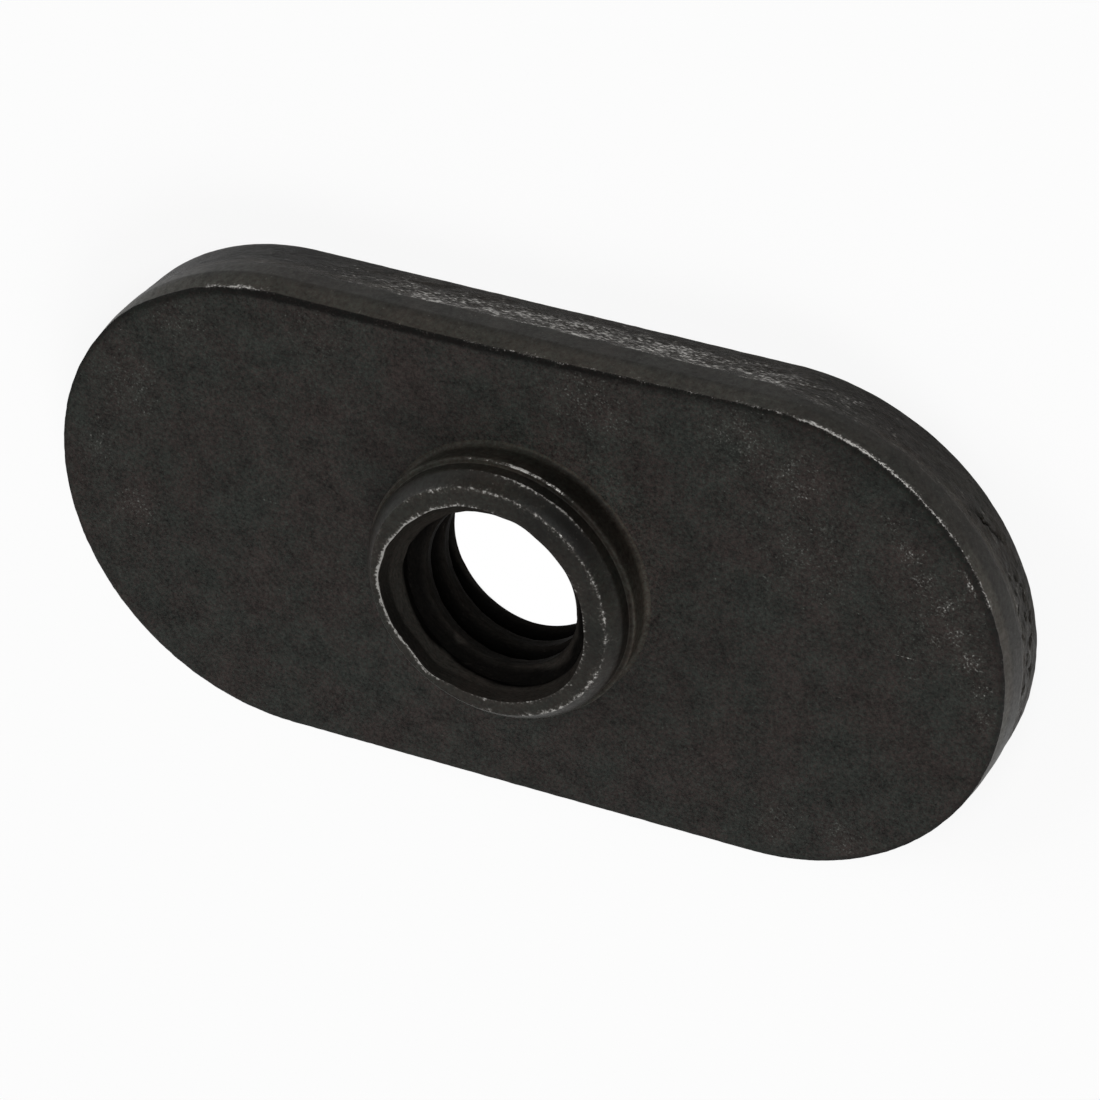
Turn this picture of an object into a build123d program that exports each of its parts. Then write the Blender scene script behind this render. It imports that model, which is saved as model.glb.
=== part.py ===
from build123d import *
import math
import os

# A slide-in T-slot nut: one piece of strip steel, blanked to an obround plate,
# with a collar plunged up out of it. Its bore is drawn here at the crests of
# its right-hand 5/16-18 UNC thread.
# Millimetres. Origin: the middle of the back face, on the bore's axis.
# +Z: out of the collar's mouth. +X: along the plate. It lies on its back face.

os.makedirs("parts", exist_ok=True)

# Plate, blanked from eighth-inch strip
plate_length = 38.1
plate_width = 19.05
plate_thickness = 3.175

# Blanked edge, from the front face down: the die roll, the straight burnished
# band, and below it the torn band, which leans in towards the back face
roll_width = 0.55
roll_depth = 0.38
burnish_height = 1.25
torn_lean = 0.10

# Bore, from the back: the rounded lip and the entry cone that the punch left,
# the wall at the thread's crests, and the countersunk mouth
entry_lip = 0.60
entry_angle = 90
entry_depth = 1.50
bore_radius = 3.20
mouth_run = 0.85
mouth_angle = 106

# Collar's outside, from the top down: a flat land, a rounded crown, a straight
# neck, and a step out to the lower wall, which narrows again to the plate
collar_height = 2.25
neck_wall = 1.95
crown_run = 0.43
crown_drop = 0.55
crown_round = 1.70
neck_height = 0.50
step_run = 0.21
step_round = 0.10
base_lean = 0.12
base_fillet = 0.20

# The boring tool runs on this far past the metal at both ends
tool_overrun = 1.00

collar_top = plate_thickness + collar_height


def plate_section(plane):
    """Half of the plate's section, from its middle out to one long edge."""
    edge = plate_width / 2
    burnish_top = plate_thickness - roll_depth
    with BuildSketch(plane) as section:
        with BuildLine():
            Polyline(
                (edge - roll_width, plate_thickness),
                (0, plate_thickness),
                (0, 0),
                (edge - torn_lean, 0),
                (edge, burnish_top - burnish_height),
                (edge, burnish_top),
            )
            EllipticalCenterArc((edge - roll_width, burnish_top), roll_width, roll_depth)
        make_face()
    return section.sketch


def plate():
    """The obround plate: its section run along the middle and turned at each end."""
    straight = plate_length - plate_width
    half_bar = Pos(-straight / 2, 0, 0) * extrude(plate_section(Plane.YZ), straight)
    round_end = revolve(plate_section(Plane.XZ), Axis.Z)
    ends = [Pos(side * straight / 2, 0, 0) * round_end for side in (-1, 1)]
    return half_bar + mirror(half_bar, Plane.XZ) + ends


def collar():
    """The collar's outside, turned on the bore's axis, still solid, and rooted in the plate."""
    root = plate_thickness / 2
    neck_radius = bore_radius + neck_wall
    step_radius = neck_radius + step_run
    step_top = collar_top - crown_drop - neck_height
    lower_radius = step_radius - base_lean
    fillet_radius = lower_radius + base_fillet
    fillet_top = plate_thickness + base_fillet
    with BuildSketch(Plane.XZ) as section:
        with BuildLine():
            Polyline(
                (neck_radius - crown_run, collar_top),
                (0, collar_top),
                (0, root),
                (fillet_radius, root),
                (fillet_radius, plate_thickness),
            )
            RadiusArc((fillet_radius, plate_thickness), (lower_radius, fillet_top), base_fillet)
            Line((lower_radius, fillet_top), (step_radius, step_top - step_round))
            RadiusArc(
                (step_radius, step_top - step_round),
                (step_radius - step_round, step_top),
                -step_round,
            )
            Polyline(
                (step_radius - step_round, step_top),
                (neck_radius, step_top),
                (neck_radius, collar_top - crown_drop),
            )
            RadiusArc(
                (neck_radius, collar_top - crown_drop),
                (neck_radius - crown_run, collar_top),
                -crown_round,
            )
        make_face()
    return revolve(section.sketch, Axis.Z)


def bore():
    """The hole from back to front: entry cone, straight wall and countersunk mouth."""
    entry_half = math.radians(entry_angle / 2)
    lip_top = entry_lip * (1 - math.sin(entry_half))
    lip_inner = bore_radius + (entry_depth - lip_top) * math.tan(entry_half)
    lip_outer = lip_inner + entry_lip * math.cos(entry_half)
    slope = math.tan(math.radians(mouth_angle / 2))
    with BuildSketch(Plane.XZ) as section:
        with BuildLine():
            Polyline(
                (lip_inner, lip_top),
                (bore_radius, entry_depth),
                (bore_radius, collar_top - mouth_run / slope),
                (bore_radius + mouth_run + tool_overrun * slope, collar_top + tool_overrun),
                (0, collar_top + tool_overrun),
                (0, -tool_overrun),
                (lip_outer, -tool_overrun),
                (lip_outer, 0),
            )
            RadiusArc((lip_outer, 0), (lip_inner, lip_top), entry_lip)
        make_face()
    return revolve(section.sketch, Axis.Z)


export_step(plate() + collar() - bore(), "parts/nut.step")
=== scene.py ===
"""Slide-in T slot nut, blanked and plunged from strip steel, tapped and blacked.

One finished piece stands for the CAD solid: the same sizes, with the thread, the
torn edge and the wear that the solid leaves out, and with painted shade and painted
highlights. Shapes are drawn in millimetres and brought to metres once, when the piece is whole.
"""

import math

import bmesh
import bpy
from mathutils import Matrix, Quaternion, Vector, noise


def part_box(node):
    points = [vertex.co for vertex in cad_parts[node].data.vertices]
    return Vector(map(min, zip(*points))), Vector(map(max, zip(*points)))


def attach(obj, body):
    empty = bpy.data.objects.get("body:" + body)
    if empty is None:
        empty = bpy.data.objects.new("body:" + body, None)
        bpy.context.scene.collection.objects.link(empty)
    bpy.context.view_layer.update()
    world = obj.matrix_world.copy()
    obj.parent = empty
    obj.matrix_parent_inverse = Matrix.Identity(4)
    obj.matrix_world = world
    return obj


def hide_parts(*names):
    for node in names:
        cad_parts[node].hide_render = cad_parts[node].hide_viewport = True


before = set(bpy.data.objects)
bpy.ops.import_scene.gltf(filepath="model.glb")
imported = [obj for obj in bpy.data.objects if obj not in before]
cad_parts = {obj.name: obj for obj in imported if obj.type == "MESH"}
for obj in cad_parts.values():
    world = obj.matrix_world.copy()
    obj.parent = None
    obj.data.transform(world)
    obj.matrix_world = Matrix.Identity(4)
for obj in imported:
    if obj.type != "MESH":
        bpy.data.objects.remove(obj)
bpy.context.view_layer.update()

MM = 0.001
# How near, in millimetres, counts as lying on a plane, on a line of the roll and by an edge,
# and how far counts as clear of a surface
HAIR = 0.001
TOUCH = 0.002
CLOSE = 0.01
CLEAR = 0.02
# Corners nearer than this become one, in the unit that a section is drawn in
MERGE = 0.0005
# How sharp a turn of the surface still looks smooth
SMOOTH_TURN = math.radians(28)
BACK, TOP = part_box("nut")

# Plate, a round-ended blank
PLATE_LENGTH = (TOP.x - BACK.x) / MM
PLATE_WIDTH = (TOP.y - BACK.y) / MM
PLATE_THICKNESS = 3.175
HALF_WIDTH = PLATE_WIDTH / 2
HALF_STRAIGHT = (PLATE_LENGTH - PLATE_WIDTH) / 2
OUTLINE = math.tau * HALF_WIDTH + 4 * HALF_STRAIGHT

# Blanked edge: rolled over at the front, burnished, then torn down to the back
ROLL_WIDTH = 0.55
ROLL_TILT = math.tan(math.radians(13))
ROLL_CURVE = 1.7
CREASE_INSET = 0.30
CREASE_HEIGHT = PLATE_THICKNESS - (ROLL_WIDTH - CREASE_INSET) * ROLL_TILT
WALL_TOP = 2.45
TORN_START = 2.20
TORN_LEAN = 0.07
# How far its lines wander: where the roll begins, by wide and narrow waves and at most how
# far past its width, then its crease and the top of the torn metal
ROLL_WAVES = (0.045, 0.04)
ROLL_OVERSHOOT = 0.07
CREASE_WANDER = 0.012
TORN_WANDER = 0.06
# Torn metal: how soon below its top it is fully rough, how deep its wide and narrow hollows
# are, and how much calmer it is at the back face and up to what height
TORN_SETTLE = 0.32
TORN_HOLLOWS = (0.05, 0.05)
BACK_CALM = 0.35
CALM_HEIGHT = 0.5

# Collar, plunged up and turned
COLLAR_TOP = TOP.z / MM
NECK_RADIUS = 5.15
LAND_RADIUS = 4.72
CROWN_FOOT = COLLAR_TOP - 0.55
CROWN_BULGE = 0.036
LEDGE = COLLAR_TOP - 1.05
STEP_RADIUS = 5.36
STEP_ROUND = 0.10
LOWER_RADIUS = 5.24
BASE_FILLET = 0.20
FOOT_RADIUS = 5.6
# How wide the corner between ledge and neck is, and how many steps the crown's curve has
NECK_BREAK = 0.03
CROWN_STEPS = 7

# Bore, open to the back through a wide rounded entry
CREST_RADIUS = 3.20
MOUTH_RADIUS = 4.05
MOUTH_SLOPE = 0.55
CONE_START = 0.42
CONE_SLOPE = 1.15
ENTRY_DEPTH = 1.50
ENTRY_TURN = math.radians(45)
LIP_ROUND = 0.60
# Rows of corners on the back face outside the entry's round, and how far out the thread runs
# on into the entry
LIP_ROWS = (0.2, 0.9)
THREAD_REACH = 4.4

# 5/16-18 thread, right hand, not cut to its full depth; a crest starts at CREST_EDGE in
# height at this turn of the bore
PITCH = 25.4 / 18
THREAD_DEPTH = 0.60
CREST_FLAT = 0.42
CREST_EDGE = 3.75
CREST_EDGE_TURN = math.radians(225)
CREST_CROWN = 0.03
FLANK_TURN = math.radians(30)
# How uneven the cutting tools left the thread and the countersink's rim
CUT_UNEVEN = 0.02

# How fine the mesh is: steps round the edge and the collar, and heights of its small rows
EDGE_STEPS = 780
TURN_STEPS = 288
BORE_ROW = 0.06
TORN_ROW = 0.076
# Rows of corners, as insets from the roll, shares of the roll and wall, and radii on the face
FACE_ROWS = (0.90, 0.12, 0.0)
ROLL_ROWS = (0.35, 0.66, 0.86, 1.0)
WALL_ROWS = (0.05, 0.12, 0.35, 0.65, 1.0)
BACK_ROWS = (0.30, 1.0)
RING_RADII = (7.0, 6.0, 5.62)

# Round the bore, by turn in degrees: how far out the countersink's rim lies
RIM_RADII = ((0, 3.84), (45, 3.81), (80, 3.89), (110, 3.95), (135, 3.98), (150, 4.09),
             (165, 4.25), (183, 4.43), (205, 4.42), (222, 4.33), (236, 4.42), (252, 4.26),
             (275, 4.17), (305, 4.12), (323, 4.08), (340, 3.97))
# ... and how bright four lines of the collar are: rubbing at the rim and the land's edge,
# rubbing with a painted highlight at the crown's foot, a painted highlight on the ledge's
# round; 0 is untouched and 1 well rubbed
RIM_WEAR = ((0, 0.62), (40, 0.30), (80, 0.45), (100, 0.75), (150, 1.05), (170, 1.25), (205, 1.25),
            (230, 1.05), (250, 0.42), (265, 0.60), (300, 0.50), (330, 0.66))
LAND_WEAR = ((0, 0.68), (45, 0.76), (90, 0.68), (115, 0.58), (150, 0.30), (165, 0.50), (180, 0.10),
             (250, 0.05), (270, 0.45), (300, 0.78), (318, 0.76), (335, 0.60))
CROWN_WEAR = ((30, 0.05), (44, 0.55), (56, 1.00), (80, 1.10), (94, 0.55), (110, 0.05))
LEDGE_WEAR = ((30, 0.00), (52, 0.20), (66, 0.80), (80, 1.00), (90, 0.50), (104, 0.30), (120, 0.05))

# Along the outline in mm, from the middle of one long side: how far in the roll begins
ROLL_INNER = ((-14.0, 0.50), (-9.0, 0.55), (-3.0, 0.54), (1.0, 0.49), (4.5, 0.39), (8.0, 0.31),
              (10.0, 0.33), (14.0, 0.38), (20.0, 0.38), (24.0, 0.26), (33.0, 0.24), (50.0, 0.22),
              (76.0, 0.20), (80.5, 0.30))
# ... how far in its crease lies
CREASES = ((-14.0, 0.24), (-9.0, 0.29), (-6.0, 0.31), (-3.0, 0.33), (1.0, 0.29), (4.5, 0.22),
           (8.0, 0.17), (10.0, 0.11), (14.0, 0.06), (20.0, 0.06), (24.0, 0.06), (33.0, 0.05),
           (50.0, 0.04), (76.0, 0.04), (80.5, 0.08))
# ... how high the torn metal reaches up the edge
TORN_TOPS = ((-30.0, 1.55), (-14.0, 1.80), (-8.0, 1.72), (0.0, 1.60), (9.0, 1.66), (11.0, 2.05),
             (14.5, 1.96), (17.5, 1.85), (21.7, 1.66), (24.5, 1.60), (33.0, 1.50), (50.0, 1.60))
# ... how rubbed the crease of the roll is, with a painted highlight along it
CREASE_WEAR = ((-13.2, 0.05), (-12.4, 0.85), (-11.0, 0.92), (-10.2, 0.70), (-9.5, 0.10), (-3.0, 0.15),
               (-0.8, 0.45), (5.0, 0.42), (8.4, 0.45), (10.6, 0.62), (11.4, 1.10), (14.0, 1.10),
               (17.0, 0.85), (18.6, 0.62), (20.4, 0.72), (21.2, 0.25), (34.0, 0.15))
# ... how much bright torn metal shows, partly painted sheen where the edge faced the light,
# and how rough, from 0 to 1
TORN_SHINE = ((-16.0, 0.10), (-9.0, 0.26), (-7.0, 0.42), (-5.0, 0.54), (-2.0, 0.66), (5.0, 0.72),
              (9.0, 0.62), (11.0, 0.34), (15.0, 0.24), (17.0, 0.15), (20.0, 0.28), (27.0, 0.32),
              (33.0, 0.20), (55.0, 0.35))
TORN_RELIEF = ((-20.0, 0.35), (-9.0, 0.35), (-5.0, 0.90), (8.0, 0.90), (11.0, 0.70), (16.0, 0.70),
               (20.0, 1.00), (33.0, 0.90), (60.0, 0.60))
# ... how much shade is painted on the torn metal, and how much light is painted on the ridge along
# its top
TORN_DARK = ((-30.0, 0.80), (-11.0, 0.80), (-5.0, 0.15), (8.0, 0.15), (12.0, 0.32), (20.0, -0.10),
             (28.0, -0.05), (40.0, 0.20))
TORN_RIDGE = ((-16.0, 0.40), (-12.0, 0.95), (-6.5, 0.85), (-4.0, 0.10), (9.0, 0.10), (11.0, 0.60),
              (14.5, 0.75), (19.0, 1.25), (25.0, 1.10), (33.0, 0.20))
# ... how much shade is painted on the roll where it begins, and on the upper part of the sheared
# wall, where below 0 it is painted light
ROLL_DARK = ((-14.0, 0.40), (-10.0, 0.86), (4.0, 0.86), (8.0, 0.50), (12.0, 0.25), (30.0, 0.0),
             (76.0, 0.0))
WALL_DARK = ((-30.0, 0.0), (9.0, 0.0), (11.0, 0.34), (17.5, 0.34), (20.0, -0.36), (24.5, -0.36),
             (27.0, 0.0), (40.0, 0.0))
# ... a short second rub with a painted highlight beside the crease: place along, half length, how
# strong
SECOND_RUB = (19.75, 0.9, 0.8)
# ... and cracks in the torn end: place along, height, half length, lean, depth
CRACKS = (
    (18.60, 0.92, 0.75, -0.30, 0.24), (19.35, 0.62, 0.30, -0.20, 0.15), (20.9, 0.75, 0.20, 0.2, 0.15),
    (21.3, 1.12, 0.16, 0.1, 0.15), (21.7, 0.55, 0.28, 0.1, 0.18), (22.5, 0.80, 0.22, 0.0, 0.17),
    (22.7, 0.40, 0.30, 0.1, 0.17), (23.6, 0.62, 0.25, 0.2, 0.16), (24.3, 0.95, 0.18, 0.1, 0.13),
    (24.8, 0.48, 0.24, 0.0, 0.14), (26.2, 0.80, 0.20, 0.2, 0.15), (27.0, 0.50, 0.26, 0.1, 0.17),
    (20.6, 1.10, 0.22, 0.5, 0.12), (21.3, 0.55, 0.18, -0.4, 0.13), (21.9, 1.25, 0.20, 0.6, 0.12),
    (22.4, 0.80, 0.24, 0.2, 0.14), (23.0, 1.30, 0.18, -0.5, 0.12), (23.4, 0.50, 0.20, 0.4, 0.13),
    (24.1, 1.00, 0.26, 0.3, 0.14), (24.8, 0.60, 0.18, -0.3, 0.12), (25.3, 1.15, 0.22, 0.5, 0.13),
    (26.2, 0.75, 0.20, 0.2, 0.12), (19.2, 0.70, 0.24, 0.6, 0.12), (18.3, 1.05, 0.20, 0.3, 0.10),
)
CRACK_HALF_WIDTH = 0.09
CRACK_BEND = 0.05

# How far a rub reaches, with the painted highlight at the crown's foot and the crease: from the
# countersink's rim, in from the land's edge, up from the crown's foot and down from its top, from
# the crease towards the roll's start and, as a share, towards the wall
RIM_RUB = 0.20
LAND_RUB = 0.26
CROWN_RUB = 0.16
CROWN_TOP_RUB = 0.30
CREASE_RUB = 0.09
CREASE_RUB_SHARE = 0.30
# ... how much of the rub and painted highlight at the crown's foot goes up the crown, how far out
# and up from the foot it is whole, how rubbed the crown's top is, and how far down the ledge's
# round its painted highlight goes
CROWN_RUB_SHARE = 0.8
FOOT_OUT = 0.06
FOOT_UP = 0.03
CROWN_TOP_WEAR = 0.20
LEDGE_RUB_SHARE = 0.75
# ... how wide the countersink's unrubbed cone is, and how high up the torn metal stays dull
CONE_WIDTH = 1.3
BACK_DULL = 0.25

# Which surface a face belongs to: how far past the roll's width the edge's faces reach, how
# far inside the land's edge the bore's begin, and how far above the ledge the collar's begin
EDGE_MARGIN = 0.06
BORE_MARGIN = 0.3
LEDGE_MARGIN = 0.05
# How far in from the roll the finish still runs along the outline
RUN_MARGIN = 0.3

# Painted shading round the collar: turn in degrees, spread in degrees, how dark or, below 0, light
CROWN_SHADES = ((50, 18, 0.88), (135, 30, 0.35))
NECK_SHADES = ((58, 20, 0.55), (-5, 26, 0.35))
SKIRT_SHADES = ((58, 30, 0.55), (-5, 26, -0.55))
FACE_SHADES = ((45, 60, -0.70),)
MOUTH_SHADES = ((212, 38, 0.55),)
# ... and evenly: entry cone, thread's crests and how much more in its roots, mouth and its cone
ENTRY_DARK = 0.40
CREST_DARK = 0.62
ROOT_DARK = 0.36
MOUTH_DARK = 0.15
CONE_DARK = 0.10
# ... how far in the land and crown reach, at how much of its depth, as 1 over this, the thread
# is darkest, and how wide the change from thread to mouth and the shade on the face round the
# collar's foot are
LAND_WIDTH = 0.2
ROOT_SOON = 2.5
MOUTH_BLEND = 0.06
FACE_FADE = 1.3
# ... and on the edge: roll at its crease, wall's lower part, darkest that a crack gets
CREASE_DARK = 0.88
LOW_WALL_DARK = 0.50
CRACK_DARK = 0.90
# ... how far below its top the torn metal's ridge lies, its spread, how fast cracks darken,
# how much of the wall's dark the face beside it takes, out to how far in from the roll, and
# how far in from the outline the wall and the torn metal can lie
RIDGE_BELOW = 0.24
RIDGE_SPREAD = 0.17
CRACK_DARKENING = 7
FACE_SHARE = 0.9
FACE_MARGIN = 0.2
EDGE_DEPTH = 0.5


# ---------------------------------------------------------------- shaping

def pick(test):
    """Select just the corners of the piece in edit mode that pass the test."""
    mesh = bmesh.from_edit_mesh(bpy.context.edit_object.data)
    for corner in mesh.verts:
        corner.select = test(corner)
    mesh.select_flush(True)
    mesh.select_flush(False)
    bmesh.update_edit_mesh(bpy.context.edit_object.data)


def turned(name, section, steps, start=0.0):
    """Draw a section corner by corner and spin it about the bore's axis."""
    bpy.ops.object.select_all(action="DESELECT")
    bpy.ops.mesh.primitive_plane_add(size=1.0)
    piece = bpy.context.object
    piece.name = name
    bpy.ops.object.mode_set(mode="EDIT")
    bpy.ops.mesh.select_mode(type="VERT")
    bpy.ops.mesh.select_all(action="SELECT")
    bpy.ops.mesh.merge(type="CENTER")
    across, along = math.cos(start), math.sin(start)
    pen = Vector((0.0, 0.0, 0.0))
    for count, (radius, height) in enumerate(section):
        there = Vector((radius * across, radius * along, height))
        if count == 0:
            bpy.ops.transform.translate(value=there - pen)
        else:
            bpy.ops.mesh.extrude_vertices_move(TRANSFORM_OT_translate={"value": there - pen})
        pen = there
    bpy.ops.mesh.select_all(action="SELECT")
    bpy.ops.mesh.spin(steps=steps, angle=math.tau, use_auto_merge=True,
                      center=(0, 0, 0), axis=(0, 0, 1))
    bpy.ops.mesh.select_all(action="SELECT")
    bpy.ops.mesh.remove_doubles(threshold=MERGE)
    return piece


def arc(middle, radius, first, last, count):
    """Points of a section's round, angles in degrees from the section's outward line."""
    points = []
    for step in range(count + 1):
        angle = math.radians(first + (last - first) * step / count)
        points.append((middle[0] + radius * math.cos(angle), middle[1] + radius * math.sin(angle)))
    return points


def line(first, last, count):
    """Evenly spaced points from first up to last, leaving out first."""
    return [
        (first[0] + (last[0] - first[0]) * step / count,
         first[1] + (last[1] - first[1]) * step / count)
        for step in range(1, count + 1)
    ]


def edge_section():
    """The plate's blanked edge, from the front face round to the back face."""
    front = PLATE_THICKNESS
    inner = HALF_WIDTH - ROLL_WIDTH
    crease = (HALF_WIDTH - CREASE_INSET, CREASE_HEIGHT)
    section = [(inner - back_from, front) for back_from in FACE_ROWS]
    for share in ROLL_ROWS:
        section.append((inner + (crease[0] - inner) * share,
                        front + (crease[1] - front) * share ** ROLL_CURVE))
    for share in WALL_ROWS:
        section.append((crease[0] + CREASE_INSET * share,
                        crease[1] + (WALL_TOP - crease[1]) * share))
    section += line(section[-1], (HALF_WIDTH, TORN_START), 2)
    section += line(section[-1], (HALF_WIDTH, 0.0), round(TORN_START / TORN_ROW))
    section += [(HALF_WIDTH - inset, 0.0) for inset in BACK_ROWS]
    return section


def collar_section():
    """The turned middle, from the front face over the collar and down the bore to the back."""
    front = PLATE_THICKNESS
    fillet = (LOWER_RADIUS + BASE_FILLET, front + BASE_FILLET)
    section = [(radius, front) for radius in RING_RADII]
    section += arc(fillet, BASE_FILLET, 270, 180, 5)
    section += line(section[-1], (STEP_RADIUS, LEDGE - STEP_ROUND), 6)
    section += arc((STEP_RADIUS - STEP_ROUND, LEDGE - STEP_ROUND), STEP_ROUND, 0, 90, 4)[1:]
    section += line(section[-1], (NECK_RADIUS + NECK_BREAK, LEDGE), 2)
    section += [(NECK_RADIUS, LEDGE + NECK_BREAK)]
    section += line(section[-1], (NECK_RADIUS, CROWN_FOOT), 5)
    chord = Vector((LAND_RADIUS - NECK_RADIUS, COLLAR_TOP - CROWN_FOOT))
    for step in range(1, CROWN_STEPS + 1):
        part = step / CROWN_STEPS
        outward = Vector((chord.y, -chord.x)).normalized() * 4 * CROWN_BULGE * part * (1 - part)
        section.append((NECK_RADIUS + chord.x * part + outward.x,
                        CROWN_FOOT + chord.y * part + outward.y))
    section += line(section[-1], (MOUTH_RADIUS, COLLAR_TOP), 6)
    rows = round((COLLAR_TOP - ENTRY_DEPTH) / BORE_ROW)
    section += line((CREST_RADIUS, COLLAR_TOP), (CREST_RADIUS, ENTRY_DEPTH), rows)
    lip_top = LIP_ROUND * (1 - math.sin(ENTRY_TURN))
    lip_inner = CREST_RADIUS + ENTRY_DEPTH - lip_top
    lip_outer = lip_inner + LIP_ROUND * math.cos(ENTRY_TURN)
    section += line(section[-1], (lip_inner, lip_top), 18)
    section += arc((lip_outer, LIP_ROUND), LIP_ROUND, 225, 270, 4)[1:]
    section += [(lip_outer + apart, 0.0) for apart in LIP_ROWS]
    return section


def plate_edge():
    """The blanked edge: turned as a round disc, parted in the middle and drawn out long."""
    steps = EDGE_STEPS
    edge = turned("plate_edge", edge_section(), steps, start=math.pi / steps)
    for side in (-1, 1):
        pick(lambda corner: corner.co.x * side > 0)
        bpy.ops.transform.translate(value=(side * HALF_STRAIGHT, 0, 0))
    mesh = bmesh.from_edit_mesh(edge.data)
    bpy.ops.mesh.select_mode(type="EDGE")
    for rung in mesh.edges:
        rung.select = rung.verts[0].co.x * rung.verts[1].co.x < 0
    bmesh.update_edit_mesh(edge.data)
    cuts = round(2 * HALF_STRAIGHT / (math.tau * HALF_WIDTH / steps))
    bpy.ops.mesh.subdivide(number_cuts=cuts)
    bpy.ops.mesh.select_mode(type="VERT")
    bpy.ops.object.mode_set(mode="OBJECT")
    return edge


def whole_nut():
    """The edge and the turned middle joined by the two flat faces."""
    edge = plate_edge()
    middle = turned("collar_and_bore", collar_section(), TURN_STEPS)
    bpy.ops.object.mode_set(mode="OBJECT")
    edge.select_set(True)
    middle.select_set(True)
    bpy.context.view_layer.objects.active = edge
    bpy.ops.object.join()
    nut = bpy.context.object
    nut.name = "blacked_nut"
    nut.data.name = "blacked_nut"
    bpy.ops.object.mode_set(mode="EDIT")
    for height in (PLATE_THICKNESS, 0.0):
        pick(lambda corner: corner.is_boundary and abs(corner.co.z - height) < HAIR)
        bpy.ops.mesh.fill(use_beauty=True)
    bpy.ops.mesh.select_all(action="SELECT")
    bpy.ops.mesh.normals_make_consistent(inside=False)
    bpy.ops.object.mode_set(mode="OBJECT")
    return nut


# ---------------------------------------------------------------- places on the piece

def read_table(table, place, lap):
    """A value from a table of (place, value) pairs that closes on itself after a lap."""
    place = (place - table[0][0]) % lap + table[0][0]
    pairs = table + ((table[0][0] + lap, table[0][1]),)
    for (before, low), (after, high) in zip(pairs, pairs[1:]):
        if place <= after:
            share = (place - before) / (after - before)
            share = share * share * (3 - 2 * share)
            return low + (high - low) * share
    return table[0][1]


def past_straight(x):
    """How far x lies beyond the straight part of the long sides, below 0 on the -X side."""
    return x - math.copysign(HALF_STRAIGHT, x) if abs(x) > HALF_STRAIGHT else 0.0


def edge_place(x, y):
    """How far in from the plate's outline a place is, and how far along the outline it lies.

    Along runs from the middle of the long side at +y, towards +x and on round.
    """
    beyond = past_straight(x)
    inset = HALF_WIDTH - math.hypot(beyond, y)
    turn = math.atan2(y, beyond)
    if beyond > 0:
        along = HALF_STRAIGHT + (math.pi / 2 - turn) * HALF_WIDTH
    elif beyond < 0:
        along = -HALF_STRAIGHT - (turn % math.tau - math.pi / 2) * HALF_WIDTH
    elif y > 0:
        along = x
    else:
        along = math.pi * HALF_WIDTH + 2 * HALF_STRAIGHT - x
    return inset, along


def ragged(first, second=0.0, third=0.0):
    """Smooth chance from about -1 to 1, the same at the same place every time.

    It varies once in about a millimetre, and a place times 5 makes it vary 5 times as fast.
    """
    return noise.noise(Vector((first, second, third))) * 1.6


# ---------------------------------------------------------------- sculpting

def thread_radius(turn, height):
    """How far the cut thread reaches out at this turn and height."""
    edge = CREST_EDGE + PITCH * (turn - CREST_EDGE_TURN) / math.tau
    above = (height - edge) % PITCH
    flank = THREAD_DEPTH * math.tan(FLANK_TURN)
    root = PITCH - CREST_FLAT - 2 * flank
    if above < CREST_FLAT:
        share = CREST_CROWN * (2 * above / CREST_FLAT - 1) ** 4
    elif above < CREST_FLAT + flank:
        share = CREST_CROWN + (1 - CREST_CROWN) * (above - CREST_FLAT) / flank
    elif above < CREST_FLAT + flank + root:
        share = 1.0
    else:
        share = CREST_CROWN + (1 - CREST_CROWN) * (PITCH - above) / flank
    drag = CUT_UNEVEN * ragged(math.cos(turn) * 2, math.sin(turn) * 2, height * 9)
    return CREST_RADIUS + THREAD_DEPTH * share + drag


def mouth_rim(turn):
    """The countersink's rim, cut off the bore's axis and a little uneven."""
    chatter = CUT_UNEVEN * ragged(math.cos(turn) * 5, math.sin(turn) * 5, 7.0)
    return read_table(RIM_RADII, math.degrees(turn), 360) + chatter


def sculpt_bore(x, y, z):
    """Where a corner of the bore or the land goes once threaded and countersunk."""
    radius = math.hypot(x, y)
    turn = math.atan2(y, x)
    rim = mouth_rim(turn)
    if z > COLLAR_TOP - HAIR:
        share = (LAND_RADIUS - radius) / (LAND_RADIUS - MOUTH_RADIUS)
        reach = LAND_RADIUS + (rim - LAND_RADIUS) * share
    elif z > ENTRY_DEPTH:
        below = COLLAR_TOP - z
        mouth = rim - MOUTH_SLOPE * below - (CONE_SLOPE - MOUTH_SLOPE) * max(0.0, below - CONE_START)
        reach = max(thread_radius(turn, z), mouth)
    else:
        reach = max(radius, thread_radius(turn, z)) if radius < THREAD_REACH else radius
    return x / radius * reach, y / radius * reach, z


def crack_depth(along, height):
    """How deep the cracks of the torn end are here."""
    depth = 0.0
    for place, middle, half, lean, deep in CRACKS:
        off = along - place
        if abs(off) < half:
            bend = CRACK_BEND * ragged(along * 5, place)
            across = abs(height - middle - lean * off - bend)
            depth = max(depth, deep * (1 - across / CRACK_HALF_WIDTH) * (1 - (off / half) ** 2))
    return depth


def roll_lines(along):
    """How far in from the outline the roll begins, ragged, and how far in its crease lies."""
    wide, narrow = ROLL_WAVES
    inner = read_table(ROLL_INNER, along, OUTLINE)
    inner += wide * ragged(along * 2.6) + narrow * ragged(along * 6.0, 1.0)
    crease = read_table(CREASES, along, OUTLINE) + CREASE_WANDER * ragged(along * 1.7, 5.0)
    return min(inner, ROLL_WIDTH + ROLL_OVERSHOOT), crease


def torn_top(along):
    """How high the torn metal reaches up the edge."""
    return read_table(TORN_TOPS, along, OUTLINE) + TORN_WANDER * ragged(along * 0.9, 2.0)


def liveliness(height):
    """How lively the torn metal is at this height: calm at the back face, soon full."""
    return BACK_CALM + (1 - BACK_CALM) * min(1.0, max(0.0, height) / CALM_HEIGHT)


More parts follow.
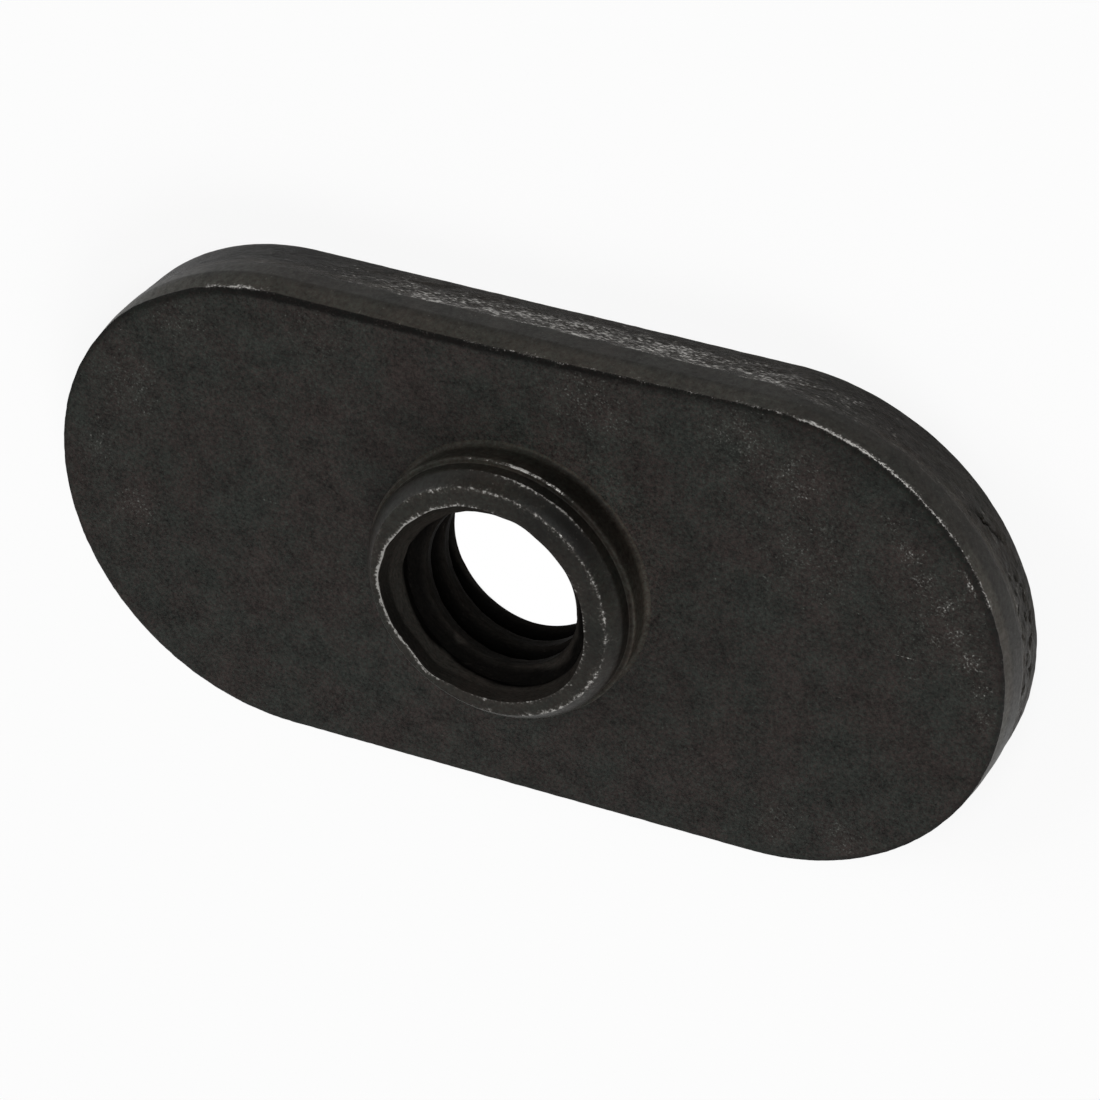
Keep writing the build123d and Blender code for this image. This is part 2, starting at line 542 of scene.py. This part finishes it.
def torn_inward(along, z, top):
    """How far the torn metal lies in from the plate's outline."""
    below = top - z
    wide, narrow = TORN_HOLLOWS
    settled = min(below / TORN_SETTLE, 1.0)
    coarse = 0.5 + 0.5 * ragged(along * 0.9, z * 2.6, 3.1)
    fine = 0.5 + 0.5 * ragged(along * 2.6, z * 9.0, 9.7)
    lively = liveliness(z) * read_table(TORN_RELIEF, along, OUTLINE)
    inward = TORN_LEAN * below / top + settled * lively * (wide * coarse + narrow * fine)
    return inward + crack_depth(along, z)


def sculpt_edge(x, y, z, inset, along):
    """Where a corner of the blanked edge goes: ragged roll, sheared wall, torn band, cracks."""
    front = PLATE_THICKNESS
    if z > WALL_TOP + HAIR:
        inner, crease = roll_lines(along)
        drop = (inner - crease) * ROLL_TILT
        if z > CREASE_HEIGHT - HAIR:
            share = min(1.0, max(0.0, (ROLL_WIDTH - inset) / (ROLL_WIDTH - CREASE_INSET)))
            inset_now = inner + (crease - inner) * share
            z = front - drop * share ** ROLL_CURVE
        else:
            share = (CREASE_HEIGHT - z) / (CREASE_HEIGHT - WALL_TOP)
            inset_now = crease * (1 - share)
            z = front - drop + (WALL_TOP - front + drop) * share
    elif z < torn_top(along):
        inset_now = torn_inward(along, z, torn_top(along))
    else:
        inset_now = 0.0
    beyond = past_straight(x)
    size = math.hypot(beyond, y)
    inward = inset_now - inset
    return x - beyond / size * inward, y - y / size * inward, z


def sculpt(nut):
    """Cut the thread and mouth, and tear the edge, by moving corners."""
    for corner in nut.data.vertices:
        x, y, z = corner.co
        inset, along = edge_place(x, y)
        if math.hypot(x, y) < LAND_RADIUS - CLOSE and z > HAIR:
            corner.co = sculpt_bore(x, y, z)
        elif inset < ROLL_WIDTH + CLOSE and not (z < HAIR and inset > CLOSE):
            corner.co = sculpt_edge(x, y, z, inset, along)


def lay_finishes(nut):
    """Give every face the finish that its surface was made with."""
    for stuff in FINISHES.values():
        nut.data.materials.append(stuff)
    order = list(FINISHES)
    for face in nut.data.polygons:
        x, y, z = face.center
        radius = math.hypot(x, y)
        inset, along = edge_place(x, y)
        if inset < ROLL_WIDTH + EDGE_MARGIN and HAIR < z < PLATE_THICKNESS - HAIR:
            if inset > roll_lines(along)[1] and z > WALL_TOP:
                finish = "roll"
            else:
                finish = "burnished" if z > torn_top(along) else "torn"
        elif radius < LAND_RADIUS - BORE_MARGIN and z > HAIR:
            finish = "thread" if z < COLLAR_TOP - HAIR else "collar"
        elif radius < FOOT_RADIUS and z > PLATE_THICKNESS + HAIR:
            finish = "collar" if z > LEDGE + LEDGE_MARGIN else "skirt"
        else:
            finish = "face"
        face.material_index = order.index(finish)


def fading(apart, reach):
    """1 where two places meet, falling evenly to 0 once they are the reach apart."""
    return max(0.0, 1 - apart / reach)


def collar_wear(radius, about, z):
    """How rubbed the collar is along its rims, with painted highlights on the foot of its crown,
    rubbed there too, and on its ledge.
    """
    if z > COLLAR_TOP - HAIR:
        from_rim = abs(radius - mouth_rim(math.radians(about)))
        at_rim = read_table(RIM_WEAR, about, 360) * fading(from_rim, RIM_RUB)
        at_edge = read_table(LAND_WEAR, about, 360) * fading(LAND_RADIUS - radius, LAND_RUB)
        return max(at_rim, at_edge)
    if radius < CREST_RADIUS + CONE_WIDTH:
        return 0.0
    if abs(radius - NECK_RADIUS) < FOOT_OUT and abs(z - CROWN_FOOT) < FOOT_UP:
        return read_table(CROWN_WEAR, about, 360)
    if z > CROWN_FOOT + CLEAR:
        upwards = max(0.0, CROWN_RUB_SHARE - (z - CROWN_FOOT) / CROWN_RUB)
        top_rub = CROWN_TOP_WEAR * fading(COLLAR_TOP - z, CROWN_TOP_RUB)
        return max(read_table(CROWN_WEAR, about, 360) * upwards, top_rub)
    if z > LEDGE - STEP_ROUND * LEDGE_RUB_SHARE and radius > STEP_RADIUS - STEP_ROUND:
        return read_table(LEDGE_WEAR, about, 360)
    return 0.0


def edge_wear(inset, along, z):
    """How rubbed the blanked edge is, with a painted highlight along the roll's crease, and how much
    bright tearing and painted sheen the torn metal shows.
    """
    if inset > ROLL_WIDTH + CLEAR or z < CLEAR:
        return 0.0
    if z > WALL_TOP:
        inner, crease = roll_lines(along)
        if inset > inner - CLOSE:
            place, half_length, strength = SECOND_RUB
            return strength * fading(abs(along - place), half_length)
        if inset > crease:
            rub = fading(inset - crease, CREASE_RUB)
        else:
            rub = fading(1 - inset / crease, CREASE_RUB_SHARE)
        return read_table(CREASE_WEAR, along, OUTLINE) * rub
    if z > torn_top(along):
        return 0.0
    return read_table(TORN_SHINE, along, OUTLINE) * liveliness(z - BACK_DULL)


def wear(x, y, z):
    """How rubbed a corner of the mesh is, painted highlights counted with the rubbing: 0 is
    untouched, and about 1 is rubbed bright.
    """
    radius = math.hypot(x, y)
    if radius < STEP_RADIUS + CLOSE and z > LEDGE - STEP_ROUND:
        return collar_wear(radius, math.degrees(math.atan2(y, x)) % 360, z)
    return edge_wear(*edge_place(x, y), z)


def near_turn(about, middle, spread):
    """A soft bump: 1 at this turn of the collar in degrees, fading out over the spread."""
    apart = (about - middle + 180) % 360 - 180
    return math.exp(-(apart / spread) ** 2)


def turn_shades(about, shades):
    """How strong each of the painted shades is at this turn of the collar."""
    return [strength * near_turn(about, middle, spread) for middle, spread, strength in shades]


def bore_darkness(radius, about, z):
    """Painted shade on the thread, heavier the deeper it is cut, and less on the countersink over it.
    """
    if z < ENTRY_DEPTH:
        return ENTRY_DARK
    cut = thread_radius(math.radians(about), z)
    thread = CREST_DARK + ROOT_DARK * min(1.0, ROOT_SOON * (cut - CREST_RADIUS) / THREAD_DEPTH)
    mouth = CONE_DARK
    if COLLAR_TOP - z < CONE_START:
        mouth = MOUTH_DARK + sum(turn_shades(about, MOUTH_SHADES))
    return thread + (mouth - thread) * min(1.0, max(0.0, radius - cut) / MOUTH_BLEND)


def collar_darkness(about, z):
    """Painted shade on the collar's crown and wall, most on the side turned to +X +Y, and painted
    light low on its wall near +X.
    """
    if CROWN_FOOT < z < COLLAR_TOP - HAIR:
        return max(turn_shades(about, CROWN_SHADES))
    return sum(turn_shades(about, SKIRT_SHADES if z < LEDGE - CLEAR else NECK_SHADES))


def edge_darkness(inset, along, z):
    """Painted shade on the edge, heaviest at the roll's crease and in cracks, with painted light
    along the top of the torn metal.
    """
    inner, crease = roll_lines(along)
    wall = read_table(WALL_DARK, along, OUTLINE)
    top = torn_top(along)
    if z > PLATE_THICKNESS - HAIR and inner + TOUCH < inset < ROLL_WIDTH + FACE_MARGIN:
        return FACE_SHARE * max(0.0, wall)
    if z > WALL_TOP + CLOSE and crease - TOUCH < inset < inner + TOUCH:
        share = (inner - inset) / (inner - crease)
        start = read_table(ROLL_DARK, along, OUTLINE)
        return start + (CREASE_DARK - start) * share
    if z > WALL_TOP + CLOSE and inset < crease:
        return wall
    if inset < EDGE_DEPTH and top <= z < WALL_TOP + CLOSE:
        return max(LOW_WALL_DARK, wall)
    if inset < EDGE_DEPTH and CLEAR < z < top:
        ridge = math.exp(-((top - z - RIDGE_BELOW) / RIDGE_SPREAD) ** 2)
        torn = read_table(TORN_DARK, along, OUTLINE) - read_table(TORN_RIDGE, along, OUTLINE) * ridge
        return min(CRACK_DARK, torn + CRACK_DARKENING * crack_depth(along, z))
    return 0.0


def darkness(x, y, z):
    """How much painted shade the oxide gets here: 0 leaves it alone, below 0 is painted light.

    It is painted shading, so that the nut reads as it does under one soft light from the
    sides: nothing says that the oxide itself is thicker or thinner in these places.
    """
    radius = math.hypot(x, y)
    about = math.degrees(math.atan2(y, x))
    if radius < LAND_RADIUS - LAND_WIDTH and HAIR < z < COLLAR_TOP - HAIR:
        return bore_darkness(radius, about, z)
    if radius < STEP_RADIUS + CLOSE and z > PLATE_THICKNESS + CLOSE:
        return collar_darkness(about, z)
    if radius < RING_RADII[0] and z > PLATE_THICKNESS - HAIR:
        # Face: painted light, a little lighter round the collar's foot on that side
        foot = min(1.0, (RING_RADII[0] - radius) / FACE_FADE)
        return sum(turn_shades(about, FACE_SHADES)) * foot
    return edge_darkness(*edge_place(x, y), z)


def store_attributes(nut):
    """Keep with each corner its rubbing and painted highlight, its painted shade, and the edge's
    place along the outline.

    run: the edge as if bent round one even circle, so that specks keep their size along it.
    """
    worn = nut.data.attributes.new("worn", "FLOAT", "POINT")
    dark = nut.data.attributes.new("dark", "FLOAT", "POINT")
    run = nut.data.attributes.new("run", "FLOAT_VECTOR", "POINT")
    ring = OUTLINE / math.tau
    for index, corner in enumerate(nut.data.vertices):
        x, y, z = corner.co
        inset, along = edge_place(x, y)
        worn.data[index].value = wear(x, y, z)
        dark.data[index].value = darkness(x, y, z)
        if inset < ROLL_WIDTH + RUN_MARGIN:
            run.data[index].vector = (ring * math.cos(along / ring), ring * math.sin(along / ring), z)
        else:
            run.data[index].vector = (x, y, z)


def finish_piece(nut):
    """Bring the piece to metres and smooth it where the metal is smooth."""
    store_attributes(nut)
    nut.select_set(True)
    bpy.context.view_layer.objects.active = nut
    nut.scale = (MM, MM, MM)
    bpy.ops.object.transform_apply(location=True, rotation=True, scale=True)
    bpy.ops.object.shade_smooth_by_angle(angle=SMOOTH_TURN)
    nut.data.update()


# ---------------------------------------------------------------- finishes

def linear(hex_colour):
    """A linear colour from an sRGB hex value."""
    parts = [int(hex_colour[place:place + 2], 16) / 255 for place in (0, 2, 4)]
    return [p / 12.92 if p <= 0.04045 else ((p + 0.055) / 1.055) ** 2.4 for p in parts] + [1.0]


def add(tree, kind, links=None, **settings):
    """Add a node: settings are its own values, links feed its sockets."""
    made = tree.nodes.new(kind)
    for key, value in settings.items():
        setattr(made, key, value)
    for socket, value in (links or {}).items():
        if isinstance(value, bpy.types.NodeSocket):
            tree.links.new(value, made.inputs[socket])
        else:
            made.inputs[socket].default_value = value
    return made


def maths(tree, operation, *values):
    """The outcome of one calculation on numbers or sockets."""
    return add(tree, "ShaderNodeMath", dict(enumerate(values)), operation=operation).outputs[0]


def ramp(tree, value, low, high, start=0.0, end=1.0, **settings):
    """A value taken from the span low to high over to start to end, and held at its ends."""
    links = {"Value": value, "From Min": low, "From Max": high, "To Min": start, "To Max": end}
    return add(tree, "ShaderNodeMapRange", links, **settings).outputs["Result"]


def blend(tree, share, first, second):
    """A colour between two, by the share of the second."""
    return add(tree, "ShaderNodeMix", {0: share, 6: first, 7: second}, data_type="RGBA").outputs[2]


def attribute(tree, name):
    """The node that reads what each corner keeps under this name."""
    return add(tree, "ShaderNodeAttribute", attribute_name=name)


def total(tree, *parts):
    """The sum of several values, each with its own weight."""
    summed = 0.0
    for value, weight in parts:
        summed = maths(tree, "MULTIPLY_ADD", value, weight, summed)
    return summed


def scuffs(tree, place, patches):
    """How scuffed a place is, from 0 to 1: soft round patches, given in millimetres."""
    most = 0.0
    for x, y, reach, strength in patches:
        apart = add(tree, "ShaderNodeVectorMath", {0: place, 1: (x, y, PLATE_THICKNESS)},
                    operation="DISTANCE")
        patch = ramp(tree, apart.outputs["Value"], 0.0, reach, strength, 0.0,
                     interpolation_type="SMOOTHSTEP")
        most = maths(tree, "MAXIMUM", most, patch)
    return most


# Oxide worn thin, and the steel under it, which also carries the painted highlights
THIN_OXIDE = "696059"
BARE_STEEL = "b4b2ae"
# Oxide cast: size in millimetres of its wide and fine patches, weight of each, and the span
# from one cast to the other
CAST_SIZES = (2.0, 0.10)
CAST_WEIGHTS = (0.40, 0.60)
CAST_SPAN = (0.40, 0.60)
# Sheen: size in millimetres of its clouds, weights of fine texture and clouds, their span from
# darkest and roughest to lightest and smoothest, and how far they move the roughness
CLOUD_SIZE = 1.1
SHEEN_WEIGHTS = (0.8, 0.2)
SHEEN_SPAN = (0.35, 0.65)
ROUGH_SPREAD = 0.07
# How much of its colour the oxide loses under full painted shade
DARK_SHARE = 0.9
# Chance of bare steel: how much specks and rubbing with its painted highlights add to it, size of a
# clump in specks, span from whole oxide to bare steel, how sudden the change is, how light the
# thinned oxide gets
SPECK_WEIGHT = 1.6
WORN_WEIGHT = 0.75
CLUMP_SIZE = 6
BARE_SPAN = (1.30, 1.95)
BARE_SHARPNESS = 5.0
THIN_SHARE = 0.11
# Hairline scratches: their turn, how they are stretched, and which part of the noise shows
SCRATCH_TURN = 0.7
SCRATCH_STRETCH = (0.25, 9.0, 1.0)
SCRATCH_SPAN = (0.70, 0.78)


def blacked_steel(name, brown, green, rough, gloss, grain, bite, mottle=0.35, streaks=1.0,
                  streak_grain=0.09, patches=(), bare=0.0, hairlines=0.0, clumping=0.8):
    """Steel blacked in hot oxide salts and oiled: near black, soft sheen, bare where it rubs and
    where a highlight is painted.

    The real texture of the oxide is too fine to show, so its grain and specks are drawn as
    coarse as needed, 0.07 to 0.3 mm across.
    brown and green: the two casts that the oxide has from place to place.
    gloss: the specular level. grain: spacing of the fine texture in millimetres, bite: how
    deep it is, mottle: how much it lightens and darkens the oxide.
    streaks: how much finer the bare specks are along the height than around the part.
    patches: where handling has scuffed it. bare: how freely bare specks come anywhere.
    hairlines: how strongly fine scratches show. clumping: how much the specks gather in clumps.
    """
    stuff = bpy.data.materials.new(name)
    stuff.use_nodes = True
    tree = stuff.node_tree
    tree.nodes.clear()
    coordinates = add(tree, "ShaderNodeTexCoord")
    place = add(tree, "ShaderNodeVectorMath", {0: coordinates.outputs["Object"], "Scale": 1 / MM},
                operation="SCALE").outputs[0]
    along = place
    if streaks != 1.0:
        along = add(tree, "ShaderNodeVectorMath",
                    {0: attribute(tree, "run").outputs["Vector"], 1: (1.0, 1.0, streaks)},
                    operation="MULTIPLY").outputs[0]

    def grain_noise(where, spacing, detail=2.0, roughness=0.5):
        return add(tree, "ShaderNodeTexNoise", {"Vector": where, "Scale": 1 / spacing,
                                                "Detail": detail, "Roughness": roughness}
                   ).outputs["Fac"]

    # Oxide cast: patches of a couple of millimetres, broken up by finer ones
    cast = total(tree, (grain_noise(place, CAST_SIZES[0], 3.0), CAST_WEIGHTS[0]),
                 (grain_noise(place, CAST_SIZES[1]), CAST_WEIGHTS[1]))
    oxide = blend(tree, ramp(tree, cast, *CAST_SPAN), linear(brown), linear(green))
    # Fine texture: the pickled surface under the oxide lightens and darkens it
    fine = grain_noise(along, grain, 5.0, 0.8)
    sheen = total(tree, (fine, SHEEN_WEIGHTS[0]),
                  (grain_noise(place, CLOUD_SIZE, 3.0), SHEEN_WEIGHTS[1]))
    mottled = ramp(tree, sheen, *SHEEN_SPAN, 1 - mottle, 1 + mottle)
    # Painted shade: the corner's stored shade darkens the oxide's colour
    lit = maths(tree, "MULTIPLY_ADD", attribute(tree, "dark").outputs["Fac"], -DARK_SHARE, 1.0)
    oxide = add(tree, "ShaderNodeVectorMath",
                {0: oxide, "Scale": maths(tree, "MULTIPLY", lit, mottled)},
                operation="SCALE").outputs[0]
    roughness = ramp(tree, sheen, *SHEEN_SPAN, rough + ROUGH_SPREAD, rough - ROUGH_SPREAD)
    # Bare steel: specks that run together where the part is rubbed, and where highlights are painted
    # with the rubbing
    specks = grain_noise(along, streak_grain, 2.0, 0.6)
    clumps = grain_noise(along, streak_grain * CLUMP_SIZE, 2.0)
    chance = total(tree, (specks, SPECK_WEIGHT), (clumps, clumping),
                   (attribute(tree, "worn").outputs["Fac"], WORN_WEIGHT))
    if patches:
        chance = total(tree, (chance, 1.0), (scuffs(tree, place, patches), 1.0))
    if hairlines:
        swirl = add(tree, "ShaderNodeMapping", {"Vector": place, "Rotation": (0, 0, SCRATCH_TURN),
                                                "Scale": SCRATCH_STRETCH})
        hair = ramp(tree, grain_noise(swirl.outputs[0], 1.0), *SCRATCH_SPAN, 0.0, hairlines)
        chance = total(tree, (chance, 1.0), (hair, 1.0))
    thinned = ramp(tree, chance, BARE_SPAN[0] - bare, BARE_SPAN[1] - bare)
    steel = maths(tree, "POWER", thinned, BARE_SHARPNESS)
    oxide = blend(tree, maths(tree, "MULTIPLY", thinned, THIN_SHARE), oxide, linear(THIN_OXIDE))
    colour = blend(tree, steel, oxide, linear(BARE_STEEL))
    height = add(tree, "ShaderNodeBump", {"Height": fine, "Strength": 1.0, "Distance": bite * MM})
    shader = add(tree, "ShaderNodeBsdfPrincipled",
                 {"Base Color": colour, "Metallic": steel, "Roughness": roughness,
                  "Normal": height.outputs["Normal"], "Specular IOR Level": gloss})
    add(tree, "ShaderNodeOutputMaterial", {"Surface": shader.outputs[0]})
    return stuff


# Where handling has scuffed the front face: x, y, reach in millimetres, strength
SCUFF_PATCHES = (
    (14.6, 6.0, 0.9, 0.30), (15.2, 5.0, 1.1, 0.32), (15.9, 4.1, 1.1, 0.30), (16.6, 3.2, 1.1, 0.32),
    (17.2, 2.2, 1.0, 0.32), (17.7, 1.2, 1.0, 0.33), (18.1, 0.2, 0.9, 0.33), (18.3, -0.9, 0.9, 0.30),
    (16.6, 2.2, 4.0, 0.19), (10.5, -7.8, 2.0, 0.22), (13.2, -7.9, 1.6, 0.28), (-15.9, 3.8, 2.8, 0.23),
    (-15.9, -1.5, 2.0, 0.23), (-17.4, 0.8, 2.0, 0.22), (-13.5, 7.2, 2.2, 0.22),
    (8.9, 8.0, 2.6, 0.26), (11.0, 6.8, 2.4, 0.26), (3.0, 7.9, 3.2, 0.22),
    (-8.0, 7.8, 2.5, 0.16), (11.5, 4.0, 5.0, 0.18),
)

FINISHES = {
    # Rolled strip: even, dull, brown and green by turns, scuffed near its ends
    "face": blacked_steel("black_oxide_mill_face", "2b2523", "252825", 0.50, 0.10, 0.13, 0.012,
                          mottle=0.85, streak_grain=0.10, patches=SCUFF_PATCHES, hairlines=0.35,
                          clumping=0.35, bare=0.225),
    # Rolled over by the punch: stretched smooth; painted shade darkens it towards its crease
    "roll": blacked_steel("black_oxide_roll_over", "2b2422", "242824", 0.42, 0.10, 0.18, 0.006,
                          mottle=0.6, streak_grain=0.07),
    # Sheared band under it: burnished smooth by the die
    "burnished": blacked_steel("black_oxide_sheared_band", "37322d", "33332e", 0.46, 0.11, 0.20,
                               0.008, mottle=0.5),
    # Torn metal below: rough, streaked with bright tears
    "torn": blacked_steel("black_oxide_torn_band", "26211d", "22211c", 0.46, 0.14, 0.15, 0.050,
                          mottle=1.0, streaks=4.0, streak_grain=0.20),
    # Plunged and turned collar: smooth, browned at its edges
    "collar": blacked_steel("black_oxide_turned_collar", "25201c", "21221e", 0.40, 0.18, 0.20,
                            0.006, mottle=0.6, streak_grain=0.12),
    # Collar's wall under the step, left as the punch drew it: dull
    "skirt": blacked_steel("black_oxide_drawn_wall", "322c27", "2e2f2a", 0.50, 0.08, 0.20,
                           0.006, mottle=0.6, streak_grain=0.09),
    # Bore: dull, with faint streaks round the bore; painted shade makes it very dark
    "thread": blacked_steel("black_oxide_cut_thread", "292522", "262522", 0.65, 0.02, 0.25, 0.012,
                            mottle=0.5, streaks=6.0, streak_grain=0.3, bare=-0.15),
}


# ---------------------------------------------------------------- making

nut = whole_nut()
sculpt(nut)
lay_finishes(nut)
finish_piece(nut)
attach(nut, "root")
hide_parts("nut")

# ---------------------------------------------------------------- studio

# White paper swept up all round, as a section in metres, a hair under the nut's back face;
# close to the nut it keeps the nut's shadow, and farther off and under the bore it is pure
# white, from and to these distances in millimetres
SWEEP = ((0.0, -0.00002), (8.0, -0.00002), (9.0, 0.12), (9.7, 0.6), (10.0, 1.3), (10.0, 2.3))
PAPER = "efefef"
FLOOR_STEPS = 96
WHITE_SHARE_NEAR = 0.85
UNDER_BORE = (4.4, 5.0)
FAR_OFF = (40, 110)
WORLD = 0.07
# Softboxes: direction, then distance, width and depth in metres, then radiance
LAMPS = {
    "long_softbox": ((-0.1, -0.75, 0.65), 0.7, 1.3, 0.6, 0.65),
    "left_softbox": ((-0.80, 0.22, 0.55), 0.6, 0.3, 0.3, 3.7),
    "right_softbox": ((0.47, -0.54, 0.70), 0.6, 0.3, 0.3, 3.7),
    "high_softbox": ((0.27, 0.40, 0.88), 0.8, 0.6, 0.5, 3.7),
}

floor = turned("floor", SWEEP, FLOOR_STEPS)
bpy.ops.mesh.normals_make_consistent(inside=True)
bpy.ops.object.mode_set(mode="OBJECT")
bpy.ops.object.shade_smooth()
paper = bpy.data.materials.new("white_paper")
paper.use_nodes = True
tree = paper.node_tree
tree.nodes.clear()
seen = add(tree, "ShaderNodeLightPath")
shown = 0.0
for ray in ("Is Camera Ray", "Is Glossy Ray", "Is Transmission Ray"):
    shown = maths(tree, "MAXIMUM", shown, seen.outputs[ray])
spot = add(tree, "ShaderNodeTexCoord").outputs["Object"]
from_nut = add(tree, "ShaderNodeVectorMath", {0: spot}, operation="LENGTH").outputs["Value"]
under_bore = ramp(tree, from_nut, UNDER_BORE[0] * MM, UNDER_BORE[1] * MM, 1.0, WHITE_SHARE_NEAR)
far_off = ramp(tree, from_nut, FAR_OFF[0] * MM, FAR_OFF[1] * MM, WHITE_SHARE_NEAR, 1.0,
               interpolation_type="SMOOTHSTEP")
white = maths(tree, "MULTIPLY", maths(tree, "MAXIMUM", under_bore, far_off), shown)
matt = add(tree, "ShaderNodeBsdfDiffuse", {"Color": linear(PAPER)})
lift = add(tree, "ShaderNodeEmission", {"Color": (1, 1, 1, 1), "Strength": 1.0})
mixed = add(tree, "ShaderNodeMixShader",
            {0: white, 1: matt.outputs[0], 2: lift.outputs[0]})
add(tree, "ShaderNodeOutputMaterial", {"Surface": mixed.outputs[0]})
floor.data.materials.append(paper)

world = bpy.data.worlds.new("studio")
bpy.context.scene.world = world
world.use_nodes = True
world.node_tree.nodes["Background"].inputs["Color"].default_value = (WORLD, WORLD, WORLD, 1)


def softbox(name, direction, distance, width, depth, radiance):
    """A flat lamp facing the nut, as bright all over as its radiance."""
    lamp = bpy.data.lights.new(name, "AREA")
    lamp.shape = "RECTANGLE"
    lamp.size = width
    lamp.size_y = depth
    lamp.energy = radiance * math.pi * width * depth
    stand = bpy.data.objects.new(name, lamp)
    bpy.context.scene.collection.objects.link(stand)
    away = Vector(direction).normalized()
    stand.location = away * distance
    stand.rotation_mode = "QUATERNION"
    stand.rotation_quaternion = away.to_track_quat("Z", "Y")


for name, setting in LAMPS.items():
    softbox(name, *setting)

# Camera: the place it faces and how far off it stands in millimetres, its azimuth and
# elevation from the nut in degrees, and the roll that stands the plate on its long edge
AIM = (-0.146, -0.922, 0.0)
DISTANCE = 175.04
AZIMUTH = 55.37
ELEVATION = 48.98
ROLL = 222.1
SENSOR_WIDTH = 36.0
FOCAL_LENGTH = 155.42
NEAR_END = 0.01
FAR_END = 100.0

aim = Vector(AIM) * MM
azimuth, elevation, roll = math.radians(AZIMUTH), math.radians(ELEVATION), math.radians(ROLL)
away = Vector((math.cos(elevation) * math.cos(azimuth),
               math.cos(elevation) * math.sin(azimuth), math.sin(elevation)))
view = bpy.data.cameras.new("camera")
view.sensor_width = SENSOR_WIDTH
view.lens = FOCAL_LENGTH
view.clip_start = NEAR_END
view.clip_end = FAR_END
camera = bpy.data.objects.new("camera", view)
bpy.context.scene.collection.objects.link(camera)
camera.location = aim + away * DISTANCE * MM
camera.rotation_mode = "QUATERNION"
camera.rotation_quaternion = (-away).to_track_quat("-Z", "Y") @ Quaternion((0, 0, 1), roll)
bpy.context.scene.camera = camera
bpy.context.scene.view_settings.view_transform = "Standard"
